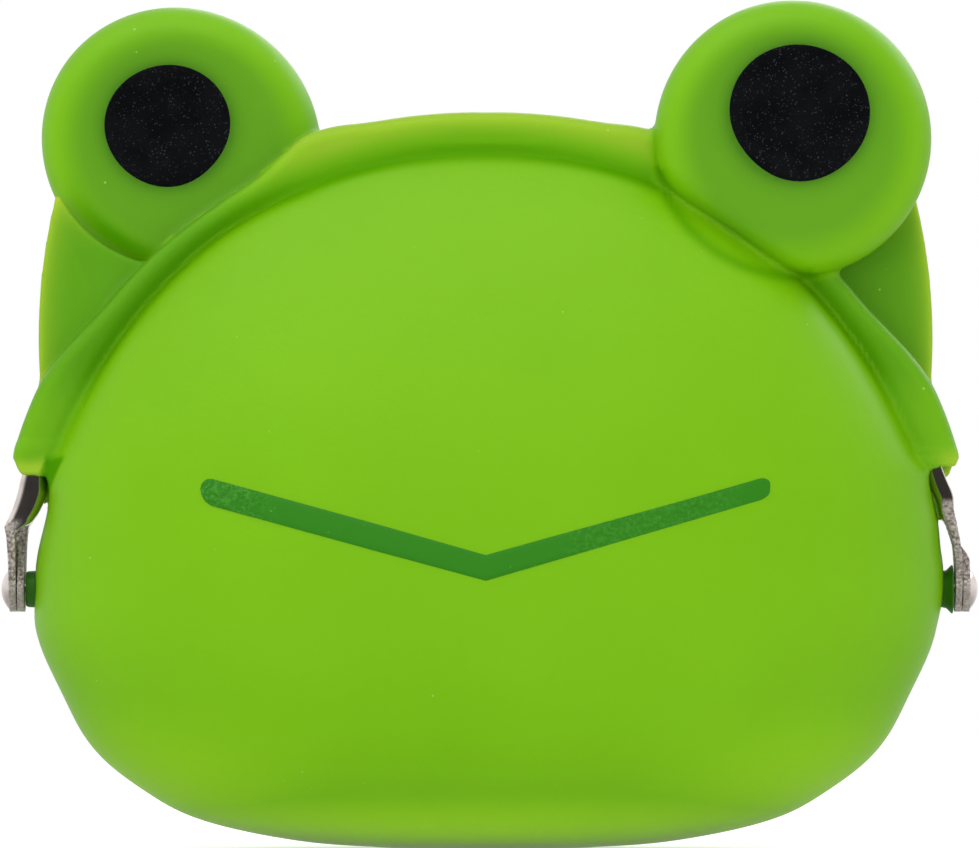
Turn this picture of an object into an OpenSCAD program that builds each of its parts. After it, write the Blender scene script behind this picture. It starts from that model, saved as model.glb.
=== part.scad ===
// Coin purse with a frog's face: a silicone pouch whose top edges are sleeves
// over two hinged steel arches. Millimetres, X to the right, front toward -Y,
// +Z up, standing on the flat of its bottom. The rear half is the front half
// turned by 180 degrees about Z.

/* [Steel arches] */
// Height of the rivets' axis above the surface
hinge_z = 29.1; // [28:0.1:30]
// Radius of an arch's crown, about the rivets' axis
arch_r = 51.6; // [51.2:0.1:52]
// Angle above the rivets' axis at which the crown runs into the flanks
flank_from = 40; // [38:1:42]
// Radius of an arch's flanks
flank_r = 63.6; // [62:0.2:65]
// Angle that each flank covers
flank_turn = 19.6; // [19:0.2:20]
// Width of the rolled channel, seen from the front
channel_w = 2.4; // [2:0.1:2.6]
// Depth of the rolled channel, front to back
channel_d = 3.0; // [2.6:0.1:3.2]
// Distance from the parting plane to the channel
channel_y = 1.3; // [1.2:0.1:1.5]
// Thickness of the steel sheet
sheet_t = 0.5; // [0.4:0.05:0.6]

/* [Hinges] */
// Diameter of the round ears at the arms' ends
ear_d = 5.1; // [4.6:0.1:5.6]
// Thickness of the flattened arms and ears
ear_t = 0.8; // [0.6:0.05:0.85]
// Inner face of the inner ears, from the middle of the purse
inner_ear_x = 52.2; // [52.15:0.05:52.25]
// Inner face of the outer ears, from the middle of the purse
outer_ear_x = 53.15; // [53.1:0.05:53.2]
// Height at which an arm that carries an inner ear turns straight down
inner_kink_z = 38.8; // [38:0.2:39.4]
// Height at which an arm that carries an outer ear turns straight down
outer_kink_z = 37.2; // [36.6:0.2:38]
// Diameter of a rivet's shank
shank_d = 2.1; // [1.8:0.05:2.2]
// Radial clearance of the ears on the shank
shank_gap = 0.05; // [0.03:0.01:0.08]
// Diameter of a rivet's domed head
head_d = 4.6; // [4.2:0.1:5]
// Height of a rivet's domed head
head_h = 0.95; // [0.8:0.05:1.1]
// Diameter of a rivet's flat tail inside the pouch
tail_d = 4.2; // [3.8:0.1:4.6]
// Diameter of the boss that the rivet goes through
boss_d = 4.1; // [3.8:0.1:4.4]

/* [Sleeves and tabs] */
// Width of a sleeve, seen from the front
sleeve_w = 3.6; // [3.5:0.1:3.8]
// Depth of a sleeve from the parting plane to its face
sleeve_d = 5.3; // [5.1:0.1:5.6]
// Rounding of a sleeve's face
sleeve_round = 1.2; // [0.8:0.1:1.5]
// Distance from the parting plane to what meets there
parting = 0.15; // [0.12:0.01:0.2]
// Radius of the cuff that widens a sleeve's end
cuff_r = 25.2; // [24.8:0.1:25.6]
// Thickness of the tab beside an eye
tab_t = 2.3; // [1.8:0.1:2.6]
// Radius of the tab's hollow edge round the eye
tab_hollow_r = 14.85; // [14.6:0.05:15]

/* [Pouch] */
// Half of the pouch's width
pouch_a = 51.1; // [50.9:0.1:51.2]
// Half of the pouch's depth
pouch_b = 21.8; // [19:0.2:24]
// Height of the pouch's deepest part
deepest_z = 24; // [22:0.5:26]
// Thickness of the silicone wall
wall = 1.9; // [1.5:0.1:2.2]
// Height at which the walls start to follow the frame
rim_z = 43.6; // [43.2:0.1:43.8]
// Exponent of the pouch's plan outline
plan_n = 2.2; // [2:0.05:2.5]

/* [Face] */
// Distance of each eye's centre from the middle
eye_x = 34.4; // [34:0.1:34.8]
// Height of the eyes' centres
eye_z = 79.5; // [79:0.1:80]
// Radius of an eye
eye_r = 15.5; // [15.2:0.1:15.8]
// Thickness of an eye
eye_t = 9.7; // [9:0.1:11]
// Rounding of an eye's rim
eye_round = 4; // [3:0.1:4.4]
// Radius of the right pupil
right_pupil_r = 7.8; // [7:0.1:8]
// Radius of the left pupil
left_pupil_r = 7; // [6.5:0.1:8]
// Half of the mouth's width between the centres of its round ends
mouth_x = 30.6; // [28:0.1:32]
// Height of the mouth's lowest point, on its middle line
mouth_z = 31.6; // [31:0.1:32]
// Slope of the mouth's two arms in degrees
mouth_slope = 15.8; // [12:0.1:17]
// Width of the mouth's painted line
mouth_w = 2.6; // [2:0.1:3]

/* [Hidden] */
$fn = 96;
lime = [0.46, 0.71, 0.06];
deep_green = [0.19, 0.5, 0.1];
nickel = [0.78, 0.76, 0.75];
ink = [0.07, 0.075, 0.085];

// The arch's middle line is a crown about the hinge and two flanks that run on
// from it without a corner.
flank_x = (arch_r - flank_r) * cos(flank_from);
flank_z = hinge_z + (arch_r - flank_r) * sin(flank_from);
end_angle = flank_from - flank_turn;
end_x = flank_x + flank_r * cos(end_angle);
end_z = flank_z + flank_r * sin(end_angle);

// Clearance of the steel in its sleeve, and of the sheets of silicone
slip = 0.05;
// Gap between an eye or a tab and the parting plane
eye_gap = 0.3;
// Length of an arm's straight channel below the sleeve
straight = 2.2;
// How much the flattened arm stands out round the channel's end
crimp = 0.03;
// Centres of the cuff's and the tab's outlines
cuff_x = 28.1;
cuff_z = 39.8;
tab_hollow_x = 34.8;
tab_hollow_z = 80.3;
tab_outer_r = 66;
tab_outer_x = -15.6;
tab_outer_z = 57.5;
// Thickness of painted ink, and its stand-off from the surface under it
ink_t = 0.15;
ink_gap = 0.03;

// Half-depth at which a wall meets the sleeve's groove
groove_y = 2.2;
// Height at which that flat flank starts to grow from nothing
groove_from = 34;
// Height of the top of the front wall, just under the crown
wall_top = 78.6;

function smooth(t) = let (c = min(max(t, 0), 1)) c * c * (3 - 2 * c);
function power(base, exponent) = pow(max(base, 0), exponent);

// Half-width of the pouch at a height, from the flat of the bottom to the rim
function corner_swell(z) =
    1.5 * exp(-pow((z - 3) / 2.6, 2)) - 1.35 * exp(-pow((z - 17) / 6, 2));
function half_width(z) =
    z < 29
    ? pouch_a * power(1 - power((29 - z) / 29.4, 2.5), 1 / 2.5) + corner_swell(z)
    : pouch_a - 2.8 * power((z - 30) / 13.6, 2);

// Half-depth of the pouch at a height, from the bottom to the crown's groove
function half_depth(z) =
    z < deepest_z
    ? pouch_b * power(1 - power((deepest_z - z) / (deepest_z + 0.3), 2.4), 1 / 2.4)
    : groove_y + (pouch_b - groove_y)
        * power(1 - power((z - deepest_z) / (wall_top + 0.2 - deepest_z), 1.7), 1 / 1.45);

// Half-depth of the pouch's flat flank at a height
function flank_depth(z) = groove_y * smooth((z - groove_from) / (rim_z - groove_from));

// Half-depth of the outer surface at a share s of the half-width
function depth_at(z, s) =
    flank_depth(z) + (half_depth(z) - flank_depth(z))
        * power(1 - power(abs(s), plan_n), 1 / plan_n);

// Half-width inside the sleeve at a height
function crown_inside(z) = sqrt(pow(arch_r - sleeve_w / 2, 2) - pow(z - hinge_z, 2));
function flank_inside(z) = flank_x + sqrt(pow(flank_r - sleeve_w / 2, 2) - pow(z - flank_z, 2));
function sleeve_inside(z) =
    z > hinge_z + (arch_r - sleeve_w / 2) * sin(flank_from) ? crown_inside(z) : flank_inside(z);

// The two sides of a grid of points, with its rim closed, as triangles
function grid_faces(rows, columns) =
    let (w = columns + 1, back = (rows + 1) * w)
    concat(
        [for (k = [0 : rows - 1], j = [0 : columns - 1]) each [
            [k * w + j, (k + 1) * w + j, k * w + j + 1],
            [k * w + j + 1, (k + 1) * w + j, (k + 1) * w + j + 1],
            [back + k * w + j, back + k * w + j + 1, back + (k + 1) * w + j],
            [back + k * w + j + 1, back + (k + 1) * w + j + 1, back + (k + 1) * w + j]
        ]],
        [for (j = [0 : columns - 1], k = [0, rows]) each
            let (a = k * w + j, b = a + 1)
            k == 0
            ? [[a, b, back + a], [b, back + b, back + a]]
            : [[b, a, back + a], [back + b, b, back + a]]
        ],
        [for (k = [0 : rows - 1], j = [0, columns]) each
            let (a = k * w + j, b = a + w)
            j == 0
            ? [[b, a, back + a], [back + b, b, back + a]]
            : [[a, b, back + a], [b, back + b, back + a]]
        ]
    );

// Stations along the arch's middle line from the right end to the left one. Each
// holds the point's x and z and the outward normal's x and z.
function flank_station(angle, side) = [
    side * (flank_x + flank_r * cos(angle)), flank_z + flank_r * sin(angle),
    side * cos(angle), sin(angle)
];
flank_steps = 9;
crown_steps = 26;
arch_stations = concat(
    [for (k = [0 : flank_steps]) flank_station(end_angle + k * flank_turn / flank_steps, 1)],
    [for (k = [1 : crown_steps - 1])
        let (angle = flank_from + k * (180 - 2 * flank_from) / crown_steps)
        [arch_r * cos(angle), hinge_z + arch_r * sin(angle), cos(angle), sin(angle)]],
    [for (k = [flank_steps : -1 : 0])
        flank_station(end_angle + k * flank_turn / flank_steps, -1)]
);

// The same with a straight length added below each end
function run_on(length) = concat(
    [[end_x + length * sin(end_angle), end_z - length * cos(end_angle),
        cos(end_angle), sin(end_angle)]],
    arch_stations,
    [[-end_x - length * sin(end_angle), end_z - length * cos(end_angle),
        -cos(end_angle), sin(end_angle)]]
);

// A point of a section at a station: u outward from the middle line, v forward
function set_out(station, u, v) =
    [station[0] + u * station[2], -v, station[1] + u * station[3]];

// The long faces of one loop of points in a sweep. Each station has a number of
// points, of which the loop takes a count from a first one.
function loop_faces(stations, points, first, count) = [
    for (k = [0 : stations - 2], i = [0 : count - 1]) each
        let (
            a = k * points + first + i,
            b = k * points + first + (i + 1) % count,
            c = a + points,
            d = b + points
        )
        [[a, b, c], [b, d, c]]
];

// Faces turned inside out
function reversed(faces) = [for (f = faces) [for (i = [len(f) - 1 : -1 : 0]) f[i]]];

// Faces with every index moved on
function moved_on(faces, step) = [for (f = faces) [for (i = f) i + step]];

// A box set in the frame of the arch's right end: x outward, z up along the arch
module at_arch_end() {
    translate([end_x, 0, end_z]) rotate([0, -end_angle, 0]) children();
}

// The rolled channel, open toward the inside of the arch
module channel() {
    w = channel_w / 2;
    far = channel_y + channel_d;
    section = [
        [-w, channel_y], [w, channel_y], [w, far], [-w, far],
        [-w, far - sheet_t], [w - sheet_t, far - sheet_t],
        [w - sheet_t, channel_y + sheet_t], [-w, channel_y + sheet_t]
    ];
    stations = run_on(straight);
    ends = [[0, 1, 6], [0, 6, 7], [1, 2, 5], [1, 5, 6], [2, 3, 4], [2, 4, 5]];
    polyhedron(
        [for (s = stations, p = section) set_out(s, p[0], p[1])],
        concat(
            loop_faces(len(stations), 8, 0, 8),
            reversed(ends),
            moved_on(ends, 8 * (len(stations) - 1))
        )
    );
}

// The point where a line from p touches the circle round c, on one side of it
function touch(p, c, r, side) =
    let (v = p - c, a = atan2(v[1], v[0]) + side * acos(r / norm(v)))
    c + r * [cos(a), sin(a)];

// One arm on the right of the purse, from the sleeve's end to its ear
module arm(ear_x, kink_z) {
    top_y = [channel_y - 0.2, channel_y + channel_d - 0.4];
    hub = [0, hinge_z];
    hull() {
        at_arch_end()
            translate([-channel_w / 2 - crimp, -channel_y - channel_d - crimp, -straight - 0.2])
            cube([channel_w + 2 * crimp, channel_d + 2 * crimp, 0.4]);
        translate([ear_x - crimp, -top_y[1] - crimp, kink_z])
            cube([ear_t + 2 * crimp, top_y[1] - top_y[0] + 2 * crimp, 0.4]);
    }
    translate([ear_x, 0, 0]) rotate([90, 0, 90]) linear_extrude(ear_t) {
        polygon([
            [-top_y[1], kink_z + 0.2], [-top_y[0], kink_z + 0.2],
            touch([-top_y[0], kink_z], hub, ear_d / 2, -1), hub,
            touch([-top_y[1], kink_z], hub, ear_d / 2, 1)
        ]);
        translate(hub) circle(ear_d / 2);
    }
}

module front_frame() {
    color(nickel) difference() {
        union() {
            channel();
            arm(inner_ear_x, inner_kink_z);
            mirror([1, 0, 0]) arm(outer_ear_x, outer_kink_z);
        }
        translate([0, 0, hinge_z]) rotate([0, 90, 0])
            cylinder(r = shank_d / 2 + shank_gap, h = 120, center = true);
    }
}

// How far the sleeve reaches outward from the arch's middle line at a station: half
// its width, or as far as the cuff's circle
function sleeve_reach(station) =
    let (
        p = [abs(station[0]) - cuff_x, station[1] - cuff_z],
        n = [abs(station[2]), station[3]],
        along = p * n,
        room = along * along - p * p + cuff_r * cuff_r
    )
    max(sleeve_w / 2, room > 0 ? sqrt(room) - along : 0);

module front_sleeve() {
    half = sleeve_w / 2;
    low = channel_y - slip;
    high = channel_y + channel_d + slip;
    side = channel_w / 2 + slip;
    corner = sleeve_round * [1, 1 - sin(30), 1 - cos(30), 0];
    function around(s) =
        let (out = sleeve_reach(s), deep = out > half + 0.01 ? sleeve_d - 0.3 : sleeve_d)
        concat(
            [[-half, parting], [out, parting]],
            [for (i = [0 : 3]) [out - corner[3 - i], deep - corner[i]]],
            [for (i = [3 : -1 : 0]) [-half + corner[3 - i], deep - corner[i]]]
        );
    within = [
        [-side, low], [side, low], [side, high - 0.9], [side, high - 0.6], [side, high - 0.3],
        [side, high], [-side, high], [-side, high - 0.3], [-side, high - 0.6], [-side, high - 0.9]
    ];
    points = [for (s = arch_stations) each
        [for (p = concat(around(s), within)) set_out(s, p[0], p[1])]];
    count = len(arch_stations);
    ring = [for (i = [0 : 9]) each
        let (j = (i + 1) % 10) [[i, j, 10 + j], [i, 10 + j, 10 + i]]];
    color(lime) polyhedron(points, concat(
        loop_faces(count, 20, 0, 10),
        reversed(loop_faces(count, 20, 10, 10)),
        reversed(ring),
        moved_on(ring, 20 * (count - 1))
    ));
}

// The sleeve's outline seen from the front, filled and a little larger, on one side
module sleeve_outline(side) {
    translate([0, hinge_z]) circle(arch_r + sleeve_w / 2 + slip);
    mirror([side < 0 ? 1 : 0, 0]) {
        intersection() {
            translate([flank_x, flank_z]) circle(flank_r + sleeve_w / 2 + slip);
            polygon([
                [flank_x, flank_z],
                [flank_x, flank_z] + 90 * [cos(flank_from), sin(flank_from)],
                [90, 0], [0, 0]
            ]);
        }
        translate([cuff_x, cuff_z]) circle(cuff_r + slip);
    }
}

// The thin tab that stands on the sleeve below the other half's eye
module front_tab() {
    color(lime) translate([0, -eye_gap, 0]) rotate([90, 0, 0]) linear_extrude(tab_t)
        difference() {
            intersection() {
                translate([-tab_outer_x, tab_outer_z]) circle(tab_outer_r);
                translate([-60, 45]) square([24, tab_hollow_z - 4 - 45]);
            }
            translate([-tab_hollow_x, tab_hollow_z]) circle(tab_hollow_r);
            sleeve_outline(-1);
        }
}

// One eye as a thick disc with a round rim, its back on the parting plane
module eye_disc() {
    rotate([90, 0, 0]) rotate_extrude() {
        square([eye_r - eye_round, eye_t]);
        translate([0, eye_round]) square([eye_r, eye_t - 2 * eye_round]);
        for (h = [eye_round, eye_t - eye_round])
            translate([eye_r - eye_round, h]) circle(eye_round);
    }
}

module right_eye() {
    color(lime) difference() {
        intersection() {
            translate([eye_x, -eye_gap, eye_z]) eye_disc();
            translate([0, -20, 40]) cube([70, 20, 70]);
        }
        translate([0, 1, 0]) rotate([90, 0, 0])
            linear_extrude(sleeve_d + slip + 1) sleeve_outline(1);
        translate([0, 1, hinge_z]) rotate([90, 0, 0])
            cylinder(r = arch_r - sleeve_w / 2 + slip, h = 20);
    }
}

module right_pupil() {
    color(ink) translate([eye_x + 1, -eye_gap - eye_t - ink_gap, eye_z + 2.9])
        rotate([90, 0, 0]) cylinder(r = right_pupil_r, h = ink_t);
}

// The left pupil is painted on the rear half's eye, on the side toward the front
module left_pupil() {
    color(ink) translate([-eye_x - 1.4, eye_gap - ink_gap / 2, eye_z + 2.4])
        rotate([90, 0, 0]) cylinder(r = left_pupil_r, h = ink_t - ink_gap);
}

// The wall between the pouch's rim and the sleeve. It bends as the purse opens.
module front_wall() {
    rows = 18;
    columns = 24;
    low = rim_z + 0.15;
    heights = [for (k = [0 : rows]) low + (wall_top - low) * pow(sin(90 * k / rows), 0.9)];
    shares = [for (j = [0 : columns]) -cos(180 * j / columns)];
    outer = [for (z = heights, s = shares)
        [s * (sleeve_inside(z) - slip), -depth_at(z, s), z]];
    inner = [for (p = outer) [
        p[0] * (1 - 0.02 * smooth((p[2] - low) / 8)),
        -max(-p[1] - wall, eye_gap),
        p[2] - 0.3 * smooth((p[2] - low) / 8)
    ]];
    color(lime) polyhedron(concat(outer, inner), grid_faces(rows, columns));
}

// One ring of the pouch's outline at a height, shrunk by a margin
segments = 56;
function ring(z, at, margin) = [for (i = [0 : segments - 1])
    let (
        angle = 360 * (i + 0.5) / segments,
        share = pow(abs(cos(angle)), 2 / plan_n) * sign(cos(angle)),
        depth = depth_at(at, share) - margin
    )
    [share * (half_width(at) - margin), sign(sin(angle)) * max(depth, 0.02), z]
];

module pouch_shell() {
    levels = 18;
    outer_z = [for (k = [0 : levels]) rim_z * pow(k / levels, 1.7)];
    outer = [for (k = [0 : levels]) each ring(outer_z[k], outer_z[k], 0)];
    inner = [for (k = [levels : -1 : 0])
        let (z = wall + (rim_z - wall) * pow(k / levels, 1.7))
        each ring(z, outer_z[k], wall * min(1, 0.35 + 1.6 * k / levels))];
    last = 2 * levels + 1;
    color(lime) polyhedron(
        concat(outer, inner),
        concat(
            [[for (i = [0 : segments - 1]) i]],
            [for (k = [0 : last - 1], i = [0 : segments - 1]) each
                let (
                    a = k * segments + i,
                    b = k * segments + (i + 1) % segments,
                    c = a + segments,
                    d = b + segments
                )
                [[a, c, b], [b, c, d]]
            ],
            [[for (i = [segments - 1 : -1 : 0]) last * segments + i]]
        )
    );
}

module pouch() {
    color(lime) difference() {
        union() {
            pouch_shell();
            for (side = [-1, 1]) translate([side * 50.9, 0, hinge_z]) rotate([0, 90, 0])
                cylinder(d = boss_d, h = 2 * (inner_ear_x - 0.1 - 50.9), center = true);
        }
        translate([0, 0, hinge_z]) rotate([0, 90, 0])
            cylinder(r = shank_d / 2 + shank_gap, h = 120, center = true);
    }
}

// The rivet on the right: domed head outside, flat tail inside the pouch
module rivet() {
    head_x = outer_ear_x + ear_t + 0.05;
    dome_r = (pow(head_d / 2, 2) + pow(head_h, 2)) / (2 * head_h);
    tail_x = pouch_a - wall - 1.35;
    tail_t = 0.7;
    color(nickel) translate([0, 0, hinge_z]) rotate([0, 90, 0]) rotate_extrude() {
        intersection() {
            translate([0, head_x + head_h - dome_r]) circle(dome_r);
            translate([0, head_x]) square(10);
        }
        translate([0, tail_x]) {
            square([tail_d / 2, tail_t]);
            square([shank_d / 2, head_x + 0.2 - tail_x]);
        }
    }
}

// The painted mouth: two straight strokes that meet in a V, on the front wall
module mouth() {
    columns = 44;
    rows = 4;
    reach = mouth_x + mouth_w / 2;
    function line_half(x) =
        let (over = max(0, abs(x) - mouth_x) / (mouth_w / 2))
        mouth_w / 2 * max(0.08, sqrt(max(0, 1 - over * over))) / cos(mouth_slope);
    function place(x, v) = mouth_z + abs(x) * tan(mouth_slope) + v * line_half(x);
    function lay(x, z, lift) = [x, -depth_at(z, x / half_width(z)) - lift, z];
    stations = [for (j = [0 : columns])
        let (u = 2 * j / columns - 1) sign(u) * reach * (1 - pow(1 - abs(u), 1.4))];
    function sheet(lift) = [for (k = [0 : rows], x = stations)
        lay(x, place(x, 2 * k / rows - 1), lift)];
    color(deep_green) polyhedron(
        concat(sheet(ink_gap + ink_t), sheet(ink_gap)), grid_faces(rows, columns));
}

module turned() {
    rotate([0, 0, 180]) children();
}

pouch();
mouth();
mirror([1, 0, 0]) rivet();  // rivet_left
rivet();  // rivet_right
front_frame();
front_sleeve();
front_tab();
front_wall();
right_eye();
right_pupil();
turned() front_frame();  // rear_frame
turned() front_sleeve();  // rear_sleeve
turned() front_tab();  // rear_tab
turned() front_wall();  // rear_wall
turned() right_eye();  // left_eye
left_pupil();
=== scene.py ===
"""Looks of a frog-faced silicone coin purse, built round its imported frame.

The silicone is one distance field. It is meshed once for the front half and
turned by 180 degrees for the rear half, because the moulding is the same from
both sides. Coordinates of the field are x to the right, v from the parting plane
toward the face, and z up. Sizes are in millimetres, but for the lamps and the
camera, which are in metres.
"""

from math import cos, hypot, pi, radians, sin

import bmesh
import bpy
import numpy as np
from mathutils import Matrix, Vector


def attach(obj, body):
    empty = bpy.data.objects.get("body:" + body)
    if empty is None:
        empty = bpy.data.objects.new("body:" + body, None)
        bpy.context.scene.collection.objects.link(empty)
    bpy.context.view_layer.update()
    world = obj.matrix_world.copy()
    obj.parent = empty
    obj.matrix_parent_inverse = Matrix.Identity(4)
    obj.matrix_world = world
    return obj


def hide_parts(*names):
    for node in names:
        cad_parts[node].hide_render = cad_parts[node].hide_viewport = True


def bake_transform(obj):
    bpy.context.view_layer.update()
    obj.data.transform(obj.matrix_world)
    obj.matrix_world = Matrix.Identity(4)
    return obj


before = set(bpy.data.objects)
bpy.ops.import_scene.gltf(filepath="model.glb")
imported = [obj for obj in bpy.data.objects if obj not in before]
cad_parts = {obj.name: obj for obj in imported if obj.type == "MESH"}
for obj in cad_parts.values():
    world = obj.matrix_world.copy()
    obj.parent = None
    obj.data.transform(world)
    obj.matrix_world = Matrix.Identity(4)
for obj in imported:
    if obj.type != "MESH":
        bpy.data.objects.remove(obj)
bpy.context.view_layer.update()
MM = 0.001

# The arches' middle line, as in the frame: one arc about the rivets' axis over the
# top, and a flatter one on each flank, from FLANK_FROM down to END_ANGLE
HINGE_Z = 29.1
ARCH_R = 51.6
FLANK_FROM = radians(40)
FLANK_R = 63.6
END_ANGLE = radians(20.4)
FLANK_X = (ARCH_R - FLANK_R) * cos(FLANK_FROM)
FLANK_Z = HINGE_Z + (ARCH_R - FLANK_R) * sin(FLANK_FROM)

# The sleeves: how far inside the middle line they meet the face at the flanks, how
# much farther at the crown, their depth, the height of their ends, and how far the
# right and the left lips hang below those
SLEEVE_IN = 1.8
CROWN_IN = 1.0
SLEEVE_D = 5.3
SLEEVE_ROUND = 1.5
CUFF_Z = 43.6
CUFF_ROUND = 1.6
LIPS = 0.9, 1.8
GROOVE_ROUND = 2.3

# How far the sleeve reaches outward from the middle line, by the angle in degrees
# about the rivets: wide at its cuff, thin under the eye behind it, with a hump
# beside that
REACH_ANGLES = (14, 17, 21, 25, 29, 33, 36, 40, 48, 56, 61, 65, 68, 71, 76, 82, 90)
REACH = (
    2.55, 2.75, 3.0, 3.1, 2.65, 2.0, 1.6, 1.45, 1.25,
    1.05, 1.25, 2.3, 3.15, 3.1, 2.4, 2.1, 1.9,
)

# The pouch: half width and half depth, the heights where it is widest and deepest,
# the height where its face reaches the crown, the powers of its outlines, how far
# its outline swells and narrows, and the thickness of its wall
POUCH_A = 51.1
POUCH_B = 21.8
WIDEST_Z = 29
FOOT_DROP = 29.4
DEEPEST_Z = 24.0
BELLY_DROP = DEEPEST_Z + 0.3
WALL_TOP = 79.4
FOOT_N = 2.5
BELLY_N = 2.4
PLAN_N = 2.2
FOOT_SWELL = 1.5
CHEEK_DIP = 1.35
WAIST = 1.6
CROWN_FLARE = 2.0
FLAT_FLANK = 2.2
WALL = 1.9

# The halves are one below SLIT_Z and part above it, with this gap on each side
SLIT_Z = 30.0
PARTING = 0.05

# The eyes and the tabs
EYE_X, EYE_Z, EYE_R = 34.4, 79.5, 15.5
EYE_BACK, EYE_FRONT, EYE_ROUND = 0.3, 10.0, 4.0
EYE_DISH, DISH_R = 1.0, 12.3
EYE_CUT_R = 48.7
REAR_EYE = 0.02
TAB_CENTRE, TAB_R = (15.6, 57.5), 66.0
HOLLOW_CENTRE, HOLLOW_R = (-34.8, 80.3), 14.85
TAB_TOP, TAB_SIDE = 76.3, 33
TAB_ROOM = 1.6

# Middle and half sizes of each pupil's print, in x and z
PUPILS = {"right": (34.95, 82.1, 7.9, 7.7), "left": (35.9, 81.4, 7.15, 6.95)}

# The web beside each arm: its edge, its lowest point, its top and half its thickness
WEB_X, WEB_LOW, WEB_TOP, WEB_HALF = 50.5, 36.4, 44.5, 0.75

# The mouth: where its ends are, how high its low point and its ends are, and half
# the width of its stroke
MOUTH_ENDS, MOUTH_LOW, MOUTH_HIGHS = (-30.1, 30.15), 31.12, (39.5, 39.75)
STROKE = 1.45

# The hinges. They stand a little to the right of the face's middle line
HINGE_SHIFT = 0.4
EAR_R = 2.55
HEAD_X, HEAD_R, HEAD_H = 54.0, 2.3, 0.95
SHANK_R = 1.05
TAIL_X, TAIL_R, TAIL_T = 47.85, 2.1, 0.7
GUSSET_LOW, GUSSET_HIGH, GUSSET_REACH = 26.0, 42.3, 7.0

# The arms: their top in the sleeve, their depths, the heights of the kinks of the
# outer and the inner one, and the rounding of their sharp edges
ARM_TOP, ARM_FRONT, ARM_BACK = 44.2, 3.95, 1.1
OUTER_KINK, INNER_KINK = 36.4, 36.9
SMALL_ROUND = 0.14

# Outlines (x, radius) of the stubs of silicone round the left and the right rivet
LEFT_BOSS = ((49.6, 2.1), (51.0, 2.08), (51.9, 2.02), (52.12, 1.9))
RIGHT_BOSS = (
    (49.6, 2.2), (50.9, 2.05), (51.4, 2.15), (51.75, 2.5), (51.95, 2.72), (52.12, 2.72),
)

# The rolled channel's outline, as distances out from the middle line and depths
CHANNEL = (
    (-0.5, 1.1), (0.7, 1.1), (0.7, 2.9), (-0.5, 2.9),
    (-0.5, 2.5), (0.3, 2.5), (0.3, 1.5), (-0.5, 1.5),
)

# Half the distance over which slopes are taken
STEP = 0.05

# Grid lines for meshing the field, in stretches (from, to, step)
GRID_X = (-56, -44, 0.5), (-44, 44, 0.62), (44, 56, 0.5)
GRID_V = (-1.5, 11, 0.5), (11, 23, 1.0)
GRID_Z = (-1.5, 36, 0.95), (36, 96.5, 0.5)


def ramp(t):
    """Rises smoothly from 0 at t = 0 to 1 at t = 1."""
    t = np.clip(t, 0, 1)
    return t * t * (3 - 2 * t)


def rise(t, start, span):
    """0 up to the start, 1 from a span after it."""
    return ramp((t - start) / span)


def fall(t, end, span):
    """1 until a span before the end, 0 from the end on."""
    return ramp((end - t) / span)


def bell(t, width):
    return np.exp(-((t / width) ** 2))


def smin(a, b, k):
    """The lesser of two distances, with a fillet of size k where they meet."""
    h = np.maximum(k - np.abs(a - b), 0) / k
    return np.minimum(a, b) - h * h * k / 4


def smax(a, b, k):
    return -smin(-a, -b, k)


def curve(t, knots, values):
    """A smooth curve through the values at rising knots."""
    knots, values = np.asarray(knots, float), np.asarray(values, float)
    slopes = np.gradient(values, knots)
    t = np.clip(t, knots[0], knots[-1])
    i = np.clip(np.searchsorted(knots, t) - 1, 0, len(knots) - 2)
    span = knots[i + 1] - knots[i]
    u = (t - knots[i]) / span
    return (
        (1 + 2 * u) * (1 - u) ** 2 * values[i]
        + u * (1 - u) ** 2 * span * slopes[i]
        + u * u * (3 - 2 * u) * values[i + 1]
        + u * u * (u - 1) * span * slopes[i + 1]
    )


def half_widths(z):
    """Half widths of the pouch at its parting edge and nearer to its face."""
    z = np.maximum(z, 0)
    drop = np.maximum(WIDEST_Z - z, 0) / FOOT_DROP
    low = (
        POUCH_A * np.maximum(1 - drop**FOOT_N, 0) ** (1 / FOOT_N)
        + FOOT_SWELL * bell(z - 3, 2.6)
        - CHEEK_DIP * bell(z - 17, 6)
    )
    crown_r = ARCH_R - SLEEVE_IN + CROWN_FLARE * rise(z, 73, 5)
    crown = np.sqrt(np.maximum(crown_r**2 - (z - HINGE_Z) ** 2, 0.1))
    flank_r = FLANK_R - SLEEVE_IN
    flank = FLANK_X + np.sqrt(np.maximum(flank_r**2 - (z - FLANK_Z) ** 2, 0.1))
    flank_top = HINGE_Z + (ARCH_R - SLEEVE_IN) * sin(FLANK_FROM)
    inside = np.where(z > flank_top, crown, flank)
    under = rise(z, 40.5, 5)
    edge = (low - WAIST * rise(z, 31, 9)) * (1 - under) + inside * under
    return edge, smin(low, inside, 2.5)


def half_depth(z):
    """How far the face bulges in the purse's middle."""
    z = np.maximum(z, 0)
    low = np.maximum(1 - (np.maximum(DEEPEST_Z - z, 0) / BELLY_DROP) ** BELLY_N, 0)
    t = np.clip((z - DEEPEST_Z) / (WALL_TOP - DEEPEST_Z), 0, 1)
    high = np.maximum(1 - t**1.7, 0) ** (1 / 1.45)
    return np.where(
        z < DEEPEST_Z,
        POUCH_B * low ** (1 / BELLY_N),
        FLAT_FLANK + (POUCH_B - FLAT_FLANK) * high,
    )


def pouch_level(x, v, z):
    """Below 0 inside the pouch's outer surface and above 0 outside it."""
    flank = FLAT_FLANK * rise(z, 30, 17)
    depth = np.maximum(half_depth(z) - flank, 0.15)
    t = np.maximum(v - flank, 0) / depth
    edge, face = half_widths(z)
    s = np.abs(x) / np.maximum(edge + (face - edge) * ramp(t / 0.6), 0.3)
    return (s**PLAN_N + t**PLAN_N) ** (1 / PLAN_N) - 1


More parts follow.
